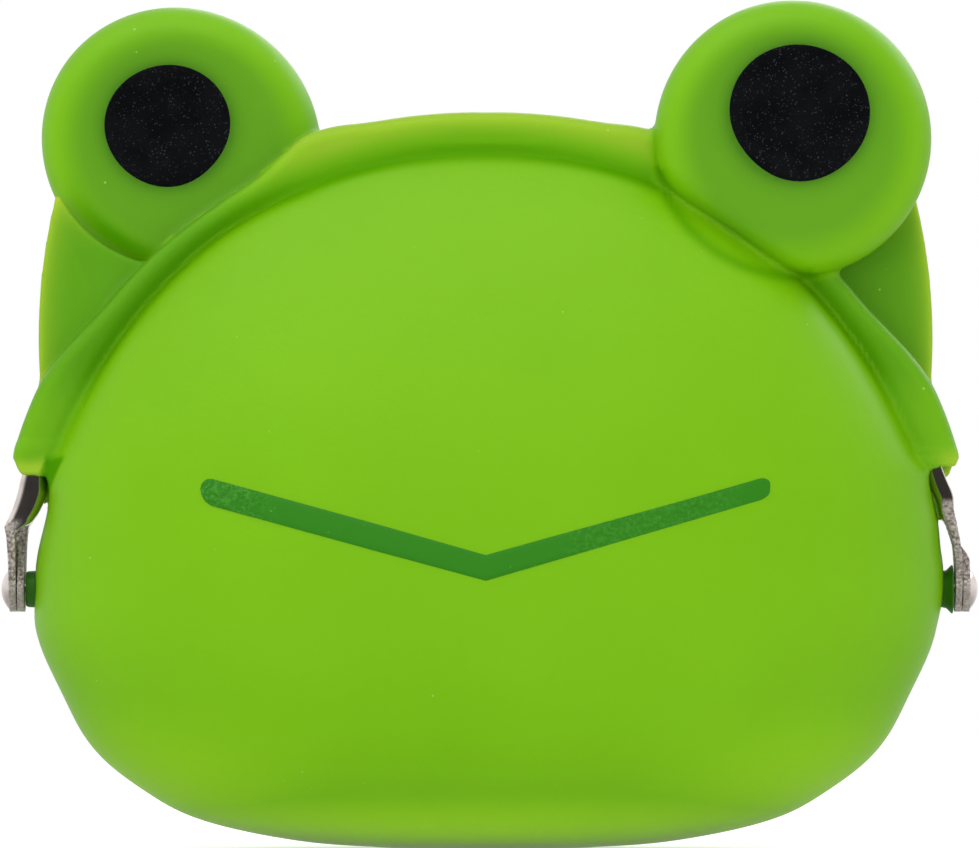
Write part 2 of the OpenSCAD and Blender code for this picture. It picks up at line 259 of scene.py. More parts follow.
def pouch(x, v, z):
    """Signed distance to the pouch's outer surface, near that surface."""
    e = 0.15
    level = pouch_level(x, v, z)
    gx = (pouch_level(x + e, v, z) - pouch_level(x - e, v, z)) / (2 * e)
    gv = (pouch_level(x, v + e, z) - pouch_level(x, v - e, z)) / (2 * e)
    gz = (pouch_level(x, v, z + e) - pouch_level(x, v, z - e)) / (2 * e)
    d = level / np.maximum(np.sqrt(gx * gx + gv * gv + gz * gz), 0.008)
    u, angle, _ = arch(x, z)
    return smax(smax(d, u + groove_at(angle), 1.0), -z, 0.8)


def arch(x, z):
    """Distance out from the arch's middle line, angle in degrees about the rivets,
    and distance below the sleeve's end."""
    ax, up = np.abs(x), z - HINGE_Z
    angle = np.arctan2(up, ax)
    u = np.where(
        angle > FLANK_FROM,
        np.hypot(ax, up) - ARCH_R,
        np.hypot(ax - FLANK_X, z - FLANK_Z) - FLANK_R,
    )
    return u, np.degrees(angle), CUFF_Z - z


def groove_at(angle):
    """How far inside the arch's middle line the sleeve meets the face."""
    return SLEEVE_IN + CROWN_IN * rise(angle, 50, 25)


def rounded(a, b, r):
    """Distance to a rounded rectangle from the distances past its two sides."""
    a, b = a + r, b + r
    corner = np.hypot(np.maximum(a, 0), np.maximum(b, 0))
    return corner + np.minimum(np.maximum(a, b), 0) - r


def sleeve(x, v, z):
    """The sleeve with its lips, hollow at its ends for the arms."""
    u, angle, past = arch(x, z)
    out = curve(angle, REACH_ANGLES, REACH)
    inner = groove_at(angle)
    middle, half = (out - inner) / 2, (out + inner) / 2
    # The sleeve gets thinner toward the face, less so at its cuff
    slope = np.clip((out - 0.2 - u) / (out + inner), 0, 1)
    face = SLEEVE_D - (2.4 - 1.7 * fall(angle, 31, 9)) * slope**2
    d = rounded(np.abs(u - middle) - half, np.abs(v) - face, SLEEVE_ROUND)
    d = smax(d, past, CUFF_ROUND)
    # A lip gets narrower downward and turns inward
    below = np.maximum(past, 0)
    across = np.abs(u - 0.7 + 0.35 * below) - (1.7 - 0.37 * below)
    lip = rounded(across, np.abs(v - 4.45) - 0.5, 0.45)
    d = smin(d, smax(lip, np.abs(past) - np.where(x < 0, LIPS[1], LIPS[0]), 0.5), 0.8)
    slot = np.maximum(np.maximum(np.abs(u) - 1.2, np.abs(v - 2.7) - 1.3), -past - 2.0)
    return smax(d, -slot, 0.15)


def eye(x, v, z):
    """A thick disc with a round rim and dished faces, cut off along the sleeve."""
    r = np.hypot(x - EYE_X, z - EYE_Z)
    middle, half = (EYE_BACK + EYE_FRONT) / 2, (EYE_FRONT - EYE_BACK) / 2
    half = half - EYE_DISH * (1 - ramp(r / DISH_R))
    d = rounded(r - EYE_R, np.abs(v - middle) - half, EYE_ROUND)
    return smax(d, EYE_CUT_R - np.hypot(x, z - HINGE_Z), 3.0)


def tab_edges(x, z):
    """Distances past a tab's outer edge and past its hollow one."""
    outer = np.hypot(x - TAB_CENTRE[0], z - TAB_CENTRE[1]) - TAB_R
    hollow = HOLLOW_R - np.hypot(x - HOLLOW_CENTRE[0], z - HOLLOW_CENTRE[1])
    return outer, hollow


def tab(x, v, z):
    """The thin fin on the other side of the purse than the eye."""
    u, _, _ = arch(x, z)
    edge = smax(*tab_edges(x, z), 0.3)
    edge = np.maximum(np.maximum(edge, z - TAB_TOP), x + TAB_SIDE)
    front = TAB_ROOM + 1.2 * ramp(-edge / 7)
    middle = (front + EYE_BACK) / 2
    d = smax(edge, np.abs(v - middle) - (front - EYE_BACK) / 2, 0.7)
    return np.maximum(d, -u - 1)


def web(x, v, z):
    """The thin web that joins the pouch to the sleeve beside an arm."""
    ax = np.abs(x)
    side = ax - (WEB_X + 0.15 * (42.5 - z))
    low = WEB_LOW + 0.9 * np.maximum(51 - ax, 0) + 1.5 * (x < 0) - z
    d = smax(rounded(side, np.abs(v) - WEB_HALF, 0.5), low, 0.5)
    return smax(d, z - WEB_TOP, 0.5)


def field(x, v, z):
    """The front half of the moulding: negative inside the silicone."""
    shell = pouch(x, v, z)
    _, angle, _ = arch(x, z)
    f = smin(shell, sleeve(x, v, z), GROOVE_ROUND + 1.0 * rise(angle, 52, 25))
    f = smin(f, web(x, v, z), 0.8)
    f = smin(f, eye(x, v, z), 1.2)
    f = smin(f, tab(x, v, z), 0.8)
    f = smax(f, -(shell + WALL), 0.5)
    # Below the slit, the cut lies behind the parting plane
    cut = PARTING - 4 * fall(z, SLIT_Z + 0.5, 1.0)
    return smax(f, cut - v, 0.25)


def gradient(p, e=0.06):
    g = np.empty_like(p)
    for axis in range(3):
        step = np.zeros(3)
        step[axis] = e
        a, b = p + step, p - step
        g[:, axis] = (field(*a.T) - field(*b.T)) / (2 * e)
    return g


def unit(g):
    return g / np.maximum(np.linalg.norm(g, axis=1, keepdims=True), 1e-9)


def axis_points(*parts):
    """Rising grid positions from (start, end, step) parts that join up."""
    out = [parts[0][0]]
    for start, end, step in parts:
        n = max(1, round((end - start) / step))
        out += list(start + (end - start) * (np.arange(n) + 1) / n)
    return np.array(out)


def surface_nets(f, axes):
    """Quads round the zero surface of f on a grid, one vertex for each cell."""
    inside = f < 0
    cells = tuple(n - 1 for n in f.shape)
    total = np.zeros(cells + (3,))
    count = np.zeros(cells)
    crossings = []
    for axis in range(3):
        low = [slice(None)] * 3
        high = [slice(None)] * 3
        low[axis], high[axis] = slice(None, -1), slice(1, None)
        a, b = f[tuple(low)], f[tuple(high)]
        cross = inside[tuple(low)] != inside[tuple(high)]
        index = np.argwhere(cross)
        fa, fb = a[cross], b[cross]
        t = fa / (fa - fb)
        p = np.stack([axes[k][index[:, k]] for k in range(3)], 1)
        line = axes[axis]
        p[:, axis] += t * (line[index[:, axis] + 1] - line[index[:, axis]])
        others = [k for k in range(3) if k != axis]
        for da in (0, 1):
            for db in (0, 1):
                c = index.copy()
                c[:, others[0]] -= da
                c[:, others[1]] -= db
                ok = ((c >= 0) & (c < np.array(cells))).all(1)
                where = tuple(c[ok].T)
                np.add.at(total, where, p[ok])
                np.add.at(count, where, 1)
        crossings.append((axis, others, index, fa < 0))
    used = count > 0
    number = np.full(cells, -1)
    number[used] = np.arange(used.sum())
    points = total[used] / count[used][:, None]
    quads = []
    for axis, others, index, starts_inside in crossings:
        corners = []
        for da, db in ((1, 1), (0, 1), (0, 0), (1, 0)):
            c = index.copy()
            c[:, others[0]] -= da
            c[:, others[1]] -= db
            ok = ((c >= 0) & (c < np.array(cells))).all(1)
            n = np.full(len(index), -1)
            n[ok] = number[tuple(c[ok].T)]
            corners.append(n)
        q = np.stack(corners, 1)
        flip = starts_inside if axis != 1 else ~starts_inside
        q[flip] = q[flip][:, ::-1]
        quads.append(q[(q >= 0).all(1)])
    return points, np.concatenate(quads)


def front_half():
    """Points (x, v, z) and quads of the front half of the moulding."""
    axes = tuple(axis_points(*parts) for parts in (GRID_X, GRID_V, GRID_Z))
    x, v, z = np.meshgrid(*axes, indexing="ij")
    points, quads = surface_nets(field(x, v, z), axes)
    for _ in range(5):
        g = gradient(points)
        square = np.maximum((g * g).sum(1, keepdims=True), 0.05)
        step = field(*points.T)[:, None] * g / square
        length = np.linalg.norm(step, axis=1, keepdims=True)
        points -= step * np.minimum(1, 0.4 / np.maximum(length, 1e-9))
    return points, quads


def link(mesh, name):
    piece = bpy.data.objects.new(name, mesh)
    bpy.context.scene.collection.objects.link(piece)
    return piece


def lean(z):
    """How far to the right the steel stands near its hinges."""
    return HINGE_SHIFT * (1 - rise(z, 37, 7))


def skin_lean(z):
    """The same for the silicone, whose lower part stands in the middle."""
    return lean(z) * rise(z, 24.5, 5)


def new_mesh(name, points, faces, turned=False, shift=0.0):
    """A mesh from points (x, v, z) in millimetres, for the front or the rear half."""
    x, v, z = points.T
    side = 1 if turned else -1
    co = np.stack([shift - side * x, side * v, z], 1) * MM
    mesh = bpy.data.meshes.new(name)
    mesh.from_pydata(co.tolist(), [], [list(map(int, f)) for f in faces])
    mesh.update()
    return mesh


def cut_at_parting(points, quads):
    """The half without what lies beyond the parting plane."""
    mesh = new_mesh("uncut", points, quads)
    work = bmesh.new()
    work.from_mesh(mesh)
    bmesh.ops.bisect_plane(
        work,
        geom=work.verts[:] + work.edges[:] + work.faces[:],
        dist=1e-7,
        plane_co=(0, 0, 0),
        plane_no=(0, 1, 0),
        clear_outer=True,
    )
    work.verts.index_update()
    cut = np.array([v.co[:] for v in work.verts]) / MM
    faces = [[v.index for v in f.verts] for f in work.faces]
    work.free()
    bpy.data.meshes.remove(mesh)
    return np.stack([cut[:, 0], -cut[:, 1], cut[:, 2]], 1), faces


def paint(mesh, name, values):
    """A named value for each vertex, which the materials read."""
    layer = mesh.attributes.new(name, "FLOAT", "POINT")
    layer.data.foreach_set("value", np.asarray(values, np.float32))


def shade_smooth(mesh, sharp_from=None):
    """Smooth shading, with sharp edges from an angle in degrees if one is given."""
    for p in mesh.polygons:
        p.use_smooth = True
    if sharp_from:
        mesh.set_sharp_from_angle(angle=radians(sharp_from))


def set_normals(mesh, normals):
    shade_smooth(mesh)
    mesh.normals_split_custom_set_from_vertices([tuple(n) for n in normals])


def pupil_shade(x, z, pupil):
    """How much painted shade the black print puts on the silicone round it."""
    px, pz, rx, rz = pupil
    r = np.hypot((x - px) / rx, (z - pz) / rz)
    past = (r - 1) * (rx + rz) / 2
    return 0.55 * np.exp(-np.maximum(past, 0) / 0.9)


def half_shift(x, v, z, turned):
    """How far one half's points stand off the field's surface, in x and in z."""
    u, _, _ = arch(x, z)
    if not turned:
        # The right side is a little wider below its cuff
        waist = rise(x, 42, 6) * rise(z, 33, 4) * (1 - rise(z, 42.3, 1.5)) * (u < 0)
        return 0.45 * waist, 0 * z
    # The rear eye's rim is larger
    from_eye = np.hypot(x - EYE_X, z - EYE_Z)
    from_hinge = np.hypot(x, z - HINGE_Z)
    rim = rise(from_eye, 9, 4) * rise(from_hinge, 52, 3) * (from_eye < EYE_R + 1)
    right = rim * (REAR_EYE * (x - EYE_X) + 0.12 + 0.05 * (z - EYE_Z))
    up = rim * 0.3 * REAR_EYE * (z - EYE_Z)
    # The web on its left ends higher: what is below goes into the pouch's wall
    beyond = x - half_widths(z)[0]
    tucked = rise(beyond, 0.1, 0.2) * fall(z, 39.4, 0.8) * ((z > 35) & (v < 1.5))
    return right - tucked * (beyond + 0.3), up


def paint_weights(x, v, z, turned):
    """How much each point takes of each of the silicone's tints, from 0 to 1."""
    u, angle, past = arch(x, z)
    from_eye = np.hypot(x - EYE_X, z - EYE_Z)
    from_hinge = np.hypot(x, z - HINGE_Z)
    off_eye = rise(from_eye, EYE_R, 1.0) * fall(v, 6, 1.0)
    outer, hollow = tab_edges(x, z)
    on_tab = (x < -30) & (u > 1.0) & (v < 3.5) & (z > 45)
    tab_inside = on_tab * ramp(-outer / 3.5)

    # Painted shade round the pupil, on the face of the eye that has the print
    near = v < 5 if turned else v > 5
    pupil = PUPILS["left" if turned else "right"]
    shade = pupil_shade(x, z, pupil) * (from_eye < EYE_R) * near

    # Painted shade, a deeper green, on the eye's dish, the sleeve's lower sides and the
    # tab
    dish = (1 - rise(from_eye, 10.5, 4.0)) * (from_hinge > 48.2) * (v > 0.2)
    side = rise(u, -2.2, 1.2) * (1 - rise(angle, 48, 20)) * off_eye
    side = side * (0.42 + 0.42 * rise(angle, 20, 10)) * np.where(x < 0, 1.15, 1)
    deep = np.maximum(dish, np.maximum(side, 0.3 * tab_inside)) * (z > 38)

    # Painted highlight, warmer and paler, along the crest of the sleeve where light from
    # above falls
    crest_highlight = 0.68 * rise(angle, 56, 16) * rise(u, -1.2, 2.6) * off_eye

    # Painted light, paler, where light comes through: the tab's edges and the lips
    edges = 0.7 * np.exp(-np.abs(outer))
    edges = edges + 0.4 * np.exp(-np.abs(hollow) / 0.9) * rise(z, 66, 7)
    on_lip = (np.abs(u) < 3.2) & (v > 2.5) & (z > CUFF_Z - LIPS[1] - 1)
    right_cuff = rise(past, -1.8, 2.2) * rise(u, -1, 3)
    cuff = np.where(x < 0, rise(past, -0.4, 1.5), right_cuff) * rise(u, -1.3, 0.6)
    thin = np.clip(on_tab * edges + 0.6 * cuff * on_lip, 0, 1)

    # Painted shade, dark green, in the groove, under the eye, on the sleeve's lower
    # sides and in the corner by the left cuff
    from_groove = u + groove_at(angle) - 0.3
    groove = bell(from_groove, 1.3 + 0.3 * (from_groove > 0)) * fall(v, 7.5, 2.5)
    groove = groove * rise(from_eye, EYE_R, 1.0)
    groove = groove * (0.4 + 0.3 * rise(angle, 20, 12) + 0.3 * rise(angle, 50, 20))
    under_eye_shade = 0.8 * bell(from_eye - EYE_R, 0.7) * (from_hinge < 51) * (v > 4)
    groove = np.maximum(groove, under_eye_shade) * (z > 44)
    groove = np.maximum(groove, 0.3 * side * (z > 46))
    beside = np.abs(x) - 47.0 - 0.55 * (CUFF_Z - z)
    corner = 1.25 * ramp(beside / 0.4) * fall(z, 44.1, 0.6) * rise(z, 39.2, 1.2)
    groove = np.maximum(groove, corner * (x < 0) * (u < -0.8))
    if turned:
        # Painted shade in the fold at the rear eye's lower left edge
        along = np.arctan2(z - EYE_Z, x - EYE_X) + radians(55)
        fold = bell(from_eye - 13.1, 1.1) * bell(along, 0.42) * near
        groove = np.maximum(groove, np.maximum(0.2 * tab_inside, 1.2 * fold))
    else:
        groove = np.maximum(groove, 0.4 * tab_inside)

    # Painted light toward the foot, most at its sides, for light thrown up from the
    # floor
    cheek_light = 0.42 * fall(z, 18, 14) * rise(np.abs(x), 12, 28)
    foot_light = np.maximum(cheek_light, fall(z, 7, 7))
    return {
        "shade": shade, "deep": deep, "crest_highlight": crest_highlight,
        "thin": thin, "groove": groove, "foot_light": foot_light,
    }


def build_skin():
    """The moulding, in one mesh for each half, leaning a little to the right near the
    hinges.
    """
    points, faces = cut_at_parting(*front_half())
    normal = unit(gradient(points, 0.35))
    on_seam = (np.abs(points[:, 1]) < 1e-3) & (points[:, 2] < SLIT_Z)
    normal[on_seam, 1] = 0
    normal = unit(normal)
    x, v, z = points.T
    for name, turned in (("front_skin", False), ("rear_skin", True)):
        right, up = half_shift(x, v, z, turned)
        placed = np.stack([x + right, v, z + up], 1)
        mesh = new_mesh(name, placed, faces, turned, skin_lean(z))
        side = 1 if turned else -1
        set_normals(mesh, normal * (-side, side, 1))
        for tint, weights in paint_weights(x, v, z, turned).items():
            paint(mesh, tint, weights)
        piece = link(mesh, name)
        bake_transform(piece)
        piece.data.materials.append(silicone)
        if turned:
            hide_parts("rear_wall", "rear_sleeve", "rear_tab", "left_eye")
        else:
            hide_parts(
                "front_wall", "front_sleeve", "front_tab", "right_eye", "pouch"
            )


# The materials' node trees, and helpers that add to them. Where a helper takes a
# value, it takes a number or colour as well as another node's output.
def material(name):
    made = bpy.data.materials.new(name)
    made.use_nodes = True
    return made, made.node_tree, made.node_tree.nodes["Principled BSDF"]


def colour(r, g, b):
    """A colour given in sRGB, from 0 to 255, as Blender's linear one."""
    def linear(c):
        c /= 255
        return c / 12.92 if c <= 0.04045 else ((c + 0.055) / 1.055) ** 2.4
    return (linear(r), linear(g), linear(b), 1)


def put(tree, socket, value):
    if isinstance(value, bpy.types.NodeSocket):
        tree.links.new(value, socket)
    else:
        socket.default_value = value


def fill(tree, node, values):
    """Gives a node's inputs their values, by name."""
    for name, value in values.items():
        put(tree, node.inputs[name], value)


def attribute(tree, name):
    node = tree.nodes.new("ShaderNodeAttribute")
    node.attribute_name = name
    return node.outputs["Fac"]


def mix(tree, factor, a, b):
    """The colour a, with the colour b over it as far as the factor says."""
    node = tree.nodes.new("ShaderNodeMix")
    node.data_type = "RGBA"
    for i, value in ((0, factor), (6, a), (7, b)):
        put(tree, node.inputs[i], value)
    return node.outputs[2]


def operate(tree, operation, a, b):
    node = tree.nodes.new("ShaderNodeMath")
    node.operation = operation
    put(tree, node.inputs[0], a)
    put(tree, node.inputs[1], b)
    return node.outputs[0]


def times(tree, a, b):
    return operate(tree, "MULTIPLY", a, b)


def stretch(tree, value, start, end, low=0, high=1):
    """Runs from low to high while the value runs from start to end."""
    node = tree.nodes.new("ShaderNodeMapRange")
    levels = {"From Min": start, "From Max": end, "To Min": low, "To Max": high}
    fill(tree, node, {"Value": value, **levels})
    return node.outputs["Result"]


def texture(tree, kind, scale):
    """A texture that stays with the object."""
    place = tree.nodes.new("ShaderNodeTexCoord")
    node = tree.nodes.new(kind)
    fill(tree, node, {"Vector": place.outputs["Object"], "Scale": scale})
    return node


def noise(tree, scale, detail=2.0, low=0.4, high=0.6):
    """Noise from 0 to 1, stretched from between two levels."""
    node = texture(tree, "ShaderNodeTexNoise", scale)
    node.inputs["Detail"].default_value = detail
    return stretch(tree, node.outputs["Fac"], low, high)


def specks(tree, scale, size, low, high):
    """Small sparse dots: 1 inside a dot, 0 elsewhere."""
    cells = texture(tree, "ShaderNodeTexVoronoi", scale)
    dot = stretch(tree, cells.outputs["Distance"], size, size * 0.6)
    return times(tree, dot, noise(tree, scale / 2.2, 2.0, low, high))


def bump(tree, bsdf, height, strength, distance):
    node = tree.nodes.new("ShaderNodeBump")
    fill(tree, node, {"Strength": strength, "Distance": distance, "Height": height})
    tree.links.new(node.outputs["Normal"], bsdf.inputs["Normal"])


def make_silicone():
    """Lime silicone, with the painted shade and painted light that the moulding carries,
    and dust.
    """
    made, tree, bsdf = material("lime_silicone")
    clouds = noise(tree, 35, 2.0, 0.35, 0.65)
    base = mix(tree, clouds, colour(117, 181, 0), colour(121, 185, 4))
    groove = attribute(tree, "groove")
    dust = times(tree, specks(tree, 420, 0.07, 0.60, 0.64), 0.55)
    # Painted shade in the dish, the groove and round the pupils, a painted highlight on
    # the crest, painted light at the foot and the thin edges, then dust
    for amount, tint in (
        (attribute(tree, "deep"), colour(96, 158, 18)),
        (attribute(tree, "crest_highlight"), colour(158, 188, 44)),
        (attribute(tree, "foot_light"), colour(180, 238, 20)),
        (times(tree, groove, 0.72), colour(66, 142, 0)),
        (attribute(tree, "shade"), colour(30, 84, 10)),
        (attribute(tree, "thin"), colour(172, 200, 50)),
        (dust, colour(176, 214, 110)),
    ):
        base = mix(tree, amount, base, tint)
    fill(tree, bsdf, {
        "Base Color": base,
        "Roughness": 0.42,
        "IOR": 1.41,
        "Specular IOR Level": stretch(tree, groove, 0, 1, 0.31, 0.06),
        "Subsurface Weight": 0.3,
        "Subsurface Radius": (0.9, 1.0, 0.1),
        "Subsurface Scale": 0.003,
    })
    bump(tree, bsdf, noise(tree, 900, 3.0), 0.05, 0.0002)
    return made


def make_nickel():
    """Bright plating, duller and pitted where the steel is flattened."""
    made, tree, bsdf = material("nickel_plate")
    rough = attribute(tree, "rough")
    clouds = noise(tree, 260, 4.0, 0.4, 0.62)
    base = mix(tree, clouds, colour(224, 214, 208), colour(200, 188, 182))
    grain = times(tree, rough, noise(tree, 2600, 3.0, 0.35, 0.65))
    base = mix(tree, grain, base, colour(120, 106, 98))
    fill(tree, bsdf, {
        "Base Color": base,
        "Metallic": stretch(tree, rough, 0, 1, 1, 0.3),
        "Roughness": stretch(tree, rough, 0, 1, 0.15, 0.5),
    })
    pits = times(tree, noise(tree, 3400, 3.0), rough)
    bump(tree, bsdf, pits, 0.7, 0.0002)
    return made


def make_mouth_paint():
    """Dark green paint, smooth but for its left end and the middle of its right arm."""
    made, tree, bsdf = material("green_paint")
    ripple = attribute(tree, "ripple")
    # Paler green on the ripples: painted glints on the bumpy paint, besides its real
    # bumps below
    painted_glints = times(tree, noise(tree, 2300, 2.0, 0.46, 0.62), ripple)
    base = mix(tree, painted_glints, colour(44, 124, 16), colour(62, 140, 36))
    dots = times(tree, specks(tree, 1500, 0.2, 0.58, 0.63), 0.5)
    base = mix(tree, dots, base, colour(110, 172, 84))
    fill(tree, bsdf, {"Base Color": base, "Roughness": 0.4, "Specular IOR Level": 0.18})
    waves = times(tree, noise(tree, 2000, 2.0), ripple)
    bump(tree, bsdf, waves, 0.5, 0.0003)
    return made


def make_pupil_ink():
    """Black ink with pale lint."""
    made, tree, bsdf = material("black_ink")
    base = mix(tree, noise(tree, 300, 2.0), colour(8, 9, 12), colour(13, 14, 17))
    lint = times(tree, specks(tree, 3200, 0.3, 0.42, 0.6), 0.18)
    base = mix(tree, lint, base, colour(112, 116, 124))
    fill(tree, bsdf, {"Base Color": base, "Roughness": 0.5, "Specular IOR Level": 0.06})
    bump(tree, bsdf, noise(tree, 1400, 3.0), 0.15, 0.0002)
    return made


silicone = make_silicone()
nickel = make_nickel()
mouth_paint = make_mouth_paint()
pupil_ink = make_pupil_ink()


def front_depth(x, z):
    """Depth of the face's surface at points of its front view."""
    across = np.abs(x) / half_widths(z)[1]
    v = half_depth(z) * np.maximum(1 - across**PLAN_N, 0.01) ** 0.45
    for _ in range(8):
        slope = (pouch(x, v + STEP, z) - pouch(x, v - STEP, z)) / (2 * STEP)
        v = v - pouch(x, v, z) / np.maximum(slope, 0.2)
    return v


def grid_quads(lines, n):
    """Quads between lines of n points each."""
    starts = (i * n + j for i in range(lines - 1) for j in range(n - 1))
    return [(a, a + 1, a + n + 1, a + n) for a in starts]


def build_mouth():
    """Two painted strokes that meet in a V, with round ends."""
    columns, rows = 151, 10
    t = np.linspace(-1, 1, columns)
    t = np.sign(t) * (1 - (1 - np.abs(t)) ** 1.3)
    x = np.where(t < 0, -t * (MOUTH_ENDS[0] - STROKE), t * (MOUTH_ENDS[1] + STROKE))
    end = np.where(x < 0, -MOUTH_ENDS[0], MOUTH_ENDS[1])
    slope = (np.where(x < 0, *MOUTH_HIGHS) - MOUTH_LOW) / end
    over = np.clip((np.abs(x) - end) / STROKE, 0, 1)
    reach = STROKE * np.sqrt(np.maximum(1 - over**2, 0.004)) * np.sqrt(1 + slope**2)
    q = np.linspace(-1, 1, rows)
    gx = np.repeat(x[:, None], rows, 1)
    gz = MOUTH_LOW + np.abs(gx) * slope[:, None] + q * reach[:, None]
    v = front_depth(gx.ravel(), gz.ravel()).reshape(gx.shape)
    # The paint is raised, but thin at the strokes' edges and ends
    thick = 0.16 * (1 - np.abs(q) ** 5) * np.where(over[:, None] > 0.85, 0.4, 1)
    points = np.stack([gx, v + thick - 0.03, gz], 2).reshape(-1, 3)
    faces = [quad[::-1] for quad in grid_quads(columns, rows)]
    mesh = new_mesh("mouth_stroke", points, faces)
    shade_smooth(mesh)
    mx = points[:, 0]
    ripple = 1 - rise(mx, -27, 4.5) + 0.55 * rise(mx, 7, 4) * (1 - rise(mx, 25, 5))
    paint(mesh, "ripple", ripple)
    piece = link(mesh, "mouth_stroke")
    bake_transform(piece)
    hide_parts("mouth")
    mesh.materials.append(mouth_paint)


def eye_surface(x, z, start):
    """Depth of the eye's face at points of its front view, near a first depth."""
    v = np.full_like(x, start)
    for _ in range(8):
        slope = eye(x, v + STEP, z) - eye(x, v - STEP, z)
        v = v - eye(x, v, z) / np.where(slope < 0, -1, 1)
    return v


def build_pupil(name, pupil, turned, node):
    """A thin print, a little out of round, that follows the eye's dished face."""
    px, pz, rx, rz = pupil
    rings, segments = (0.25, 0.5, 0.75, 0.92, 0.985, 1.0), 96
    lifts = (0.05, 0.05, 0.05, 0.05, 0.04, -0.02)
    flat, lift = [(px, pz)], [0.05]
    for ring, above in zip(rings, lifts):
        for i in range(segments):
            a = 2 * pi * i / segments
            dent = 0.045 * max(0, cos(a - radians(225))) ** 6
            wobble = 1 + 0.008 * sin(3 * a + 1) - dent
            x, z = rx * ring * wobble * cos(a), rz * ring * wobble * sin(a)
            flat.append((px + x, pz + z))
            lift.append(above)
    x, z = np.array(flat).T
    start, outward = (EYE_BACK, -1) if turned else (EYE_FRONT, 1)
    v = eye_surface(x, z, start) + outward * np.array(lift)
    faces = []
    for i in range(segments):
        j = (i + 1) % segments
        faces.append((0, 1 + i, 1 + j))
        for k in range(len(rings) - 1):
            a, b = 1 + k * segments, 1 + (k + 1) * segments
            faces.append((a + i, b + i, b + j, a + j))
    mesh = new_mesh(name, np.stack([x, v, z], 1), faces, turned)
    shade_smooth(mesh)
    piece = link(mesh, name)
    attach(piece, "rear_half" if turned else "front_half")
    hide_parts(node)
    mesh.materials.append(pupil_ink)


def tube(sections, first=0):
    """Quads round a row of closed sections, with a face over each end."""
    rows, n = len(sections), len(sections[0])
    faces = []
    for k in range(rows - 1):
        for i in range(n):
            j = (i + 1) % n
            a, b = first + k * n, first + (k + 1) * n
            faces.append((a + i, b + i, b + j, a + j))
    faces.append(tuple(first + i for i in range(n)))
    faces.append(tuple(first + (rows - 1) * n + n - 1 - i for i in range(n)))
    return faces


def tubes(shapes):
    """Points and faces of one or more rows of sections."""
    points, faces = [], []
    for sections in shapes:
        faces += tube(sections, len(points))
        points += [p for section in sections for p in section]
    return np.array(points), faces


def lathe(side, profile):
    """Sections of a body turned about the rivets' axis, from points (x, radius)."""
    segments = 48
    turns = [2 * pi * i / segments for i in range(segments)]
    return [
        [(side * x, r * sin(a), HINGE_Z + r * cos(a)) for a in turns][::side]
        for x, r in profile
    ]


def rounded_section(low, high, back, front, outer, inner):
    """Points (x, v) round a rectangle whose front corners have their own rounding."""
    room = min(front - back, high - low) * 0.49
    small = min(SMALL_ROUND, room)
    outer, inner = min(outer, room), min(inner, room)
    corners = (
        (high, front, -1, -1, outer, 0), (low, front, 1, -1, inner, 90),
        (low, back, 1, 1, small, 180), (high, back, -1, 1, small, 270),
    )
    out = []
    for x, v, sx, sv, r, start in corners:
        for i in range(7):
            a = radians(start + 15 * i)
            out.append((x + sx * r + r * cos(a), v + sv * r + r * sin(a)))
    return out


def strip_edge(z, v, top, side):
    """Where the flattened arm's edge runs from (v, top) on to the round ear."""
    up = top - HINGE_Z
    far = hypot(v, up)
    turn = np.arctan2(up, v) - side * np.arccos(EAR_R / far)
    tv, tz = EAR_R * cos(turn), HINGE_Z + EAR_R * sin(turn)
    line = v + (tv - v) * (top - z) / (top - tz)
    ring = side * np.sqrt(max(EAR_R**2 - (z - HINGE_Z) ** 2, 0.02))
    return v if z > top else line if z > tz else ring


# The arms seen from the front, as rows of height, inner edge and outer edge. Each
# half has one arm outside and one inside the other half's; those of the rear half
# are bent in, behind the front half's.
OUTER_ARM = (
    (44.2, 48.9, 51.2), (42.6, 49.3, 51.95), (41.7, 49.4, 52.25), (39.9, 49.6, 52.8),
    (38.2, 50.3, 53.45), (37.0, 51.05, 54.0), (36.4, 51.6, 54.25), (35.9, 52.6, 54.35),
    (35.4, 53.1, 54.25), (34.3, 53.2, 54.15), (32.4, 53.2, 54.05), (26.5, 53.15, 53.98),
)
INNER_ARM = (
    (44.2, 48.6, 50.5), (42.7, 49.15, 51.1), (41.2, 49.5, 51.6), (40.2, 49.8, 51.95),
    (39.3, 50.15, 52.15), (38.8, 50.3, 52.1), (37.6, 50.5, 52.15), (36.9, 50.75, 52.3),
    (36.3, 51.3, 52.4), (34.5, 51.95, 52.8), (32.4, 52.25, 53.05), (26.5, 52.3, 53.08),
)
REAR_ARM = (
    (44.2, 49.6, 50.9), (42.6, 50.2, 51.4), (41.7, 50.4, 51.75), (39.9, 50.7, 52.05),
    (38.2, 50.9, 52.2), (37.0, 51.2, 52.3), (36.2, 51.6, 52.45), (35.2, 51.95, 52.65),
    (34.6, 52.1, 52.8), (33.9, 52.35, 53.15), (33.2, 52.85, 53.65), (32.6, 53.12, 53.95),
    (31.5, 53.15, 54.0), (26.5, 53.15, 54.0),
)
REAR_INNER_ARM = (
    (44.2, 49.0, 50.6), (42.7, 49.6, 51.25), (41.2, 49.9, 52.0), (40.2, 50.3, 52.5),
    (39.3, 50.6, 52.7), (38.2, 51.0, 52.9), (37.0, 51.4, 53.1), (36.3, 51.9, 53.3),
    (35.6, 52.1, 53.35), (34.5, 52.2, 53.3), (33.0, 52.25, 53.15), (26.5, 52.25, 53.08),
)


